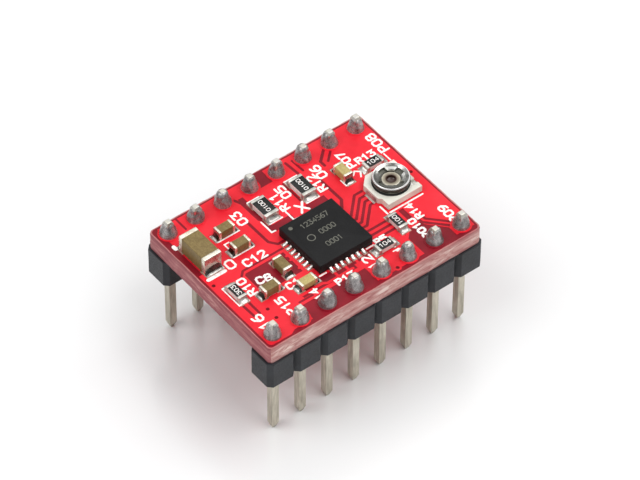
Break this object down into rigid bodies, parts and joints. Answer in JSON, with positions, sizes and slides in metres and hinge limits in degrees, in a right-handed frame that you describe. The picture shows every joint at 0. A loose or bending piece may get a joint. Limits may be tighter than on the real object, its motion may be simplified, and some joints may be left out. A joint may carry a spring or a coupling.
{
  "type": "stepper driver module",
  "caption": "Small red circuit board on two rows of square header pins, with a flat driver chip, chip resistors and capacitors, and a trimmer with a turning cross-slot rotor.",
  "frame": {"origin": "centre of the pin pattern, in the plane of the pin tips", "axes": "+X along the header rows, towards the trimmer; +Y across the rows, towards the sense resistors; +Z out of the component side"},
  "size_m": [0.0204, 0.0152, 0.0118],
  "materials": {
    "board": "glossy red solder mask over glass laminate",
    "copper": "tinned or gilt copper",
    "header_plastic": "satin moulded",
    "pin_metal": "tin plated",
    "solder": "satin solder",
    "chip_plastic": "fine matt moulding",
    "lead_metal": "tin plated",
    "silicon": "polished",
    "bond_metal": "bright",
    "capacitor_ceramic": "satin",
    "resistor_ceramic": "satin",
    "overcoat": "glossy glaze",
    "end_cap_metal": "tin plated",
    "trimmer_plastic": "satin cream moulding",
    "track": "matt resistive film",
    "trimmer_metal": "stamped, plated"
  },
  "bodies": {
    "module": {"circuit_board": "board", "plated_holes": "copper", "component_lands": "copper", "underside_heat_area": "copper", "front_header_strip": "header_plastic", "rear_header_strip": "header_plastic", "front_pin_solder": "solder", "rear_pin_solder": "solder", "front_pin_1": "pin_metal", "front_pin_2": "pin_metal", "front_pin_3": "pin_metal", "front_pin_4": "pin_metal", "front_pin_5": "pin_metal", "front_pin_6": "pin_metal", "front_pin_7": "pin_metal", "front_pin_8": "pin_metal", "rear_pin_1": "pin_metal", "rear_pin_2": "pin_metal", "rear_pin_3": "pin_metal", "rear_pin_4": "pin_metal", "rear_pin_5": "pin_metal", "rear_pin_6": "pin_metal", "rear_pin_7": "pin_metal", "rear_pin_8": "pin_metal", "driver_chip_body": "chip_plastic", "driver_chip_leads": "lead_metal", "driver_chip_heat_pad": "lead_metal", "driver_chip_die": "silicon", "driver_chip_bond_wires": "bond_metal", "driver_chip_solder": "solder", "bulk_capacitor": "capacitor_ceramic", "charge_capacitor_1": "capacitor_ceramic", "charge_capacitor_2": "capacitor_ceramic", "regulator_capacitor": "capacitor_ceramic", "reference_capacitor": "capacitor_ceramic", "filter_capacitor": "capacitor_ceramic", "logic_capacitor": "capacitor_ceramic", "sense_resistor_1": "resistor_ceramic", "sense_resistor_2": "resistor_ceramic", "timing_resistor": "resistor_ceramic", "pull_up_resistor": "resistor_ceramic", "divider_resistor": "resistor_ceramic", "pull_down_resistor": "resistor_ceramic", "capacitor_end_caps": "end_cap_metal", "resistor_end_caps": "end_cap_metal", "resistor_overcoats": "overcoat", "chip_part_solder": "solder", "trimmer_base": "trimmer_plastic", "trimmer_end_terminals": "trimmer_metal", "trimmer_wiper_terminal": "trimmer_metal", "trimmer_track": "track", "trimmer_solder": "solder"},
    "rotor": {"trimmer_rotor": "trimmer_metal", "trimmer_wiper": "trimmer_metal"}
  },
  "joints": [
    {"name": "trimmer_turn", "type": "hinge", "parent": "module", "child": "rotor", "pos_m": [0.00715, -0.00012, 0.01124], "axis": [0, 0, 1], "range_deg": [-125, 125]}
  ]
}
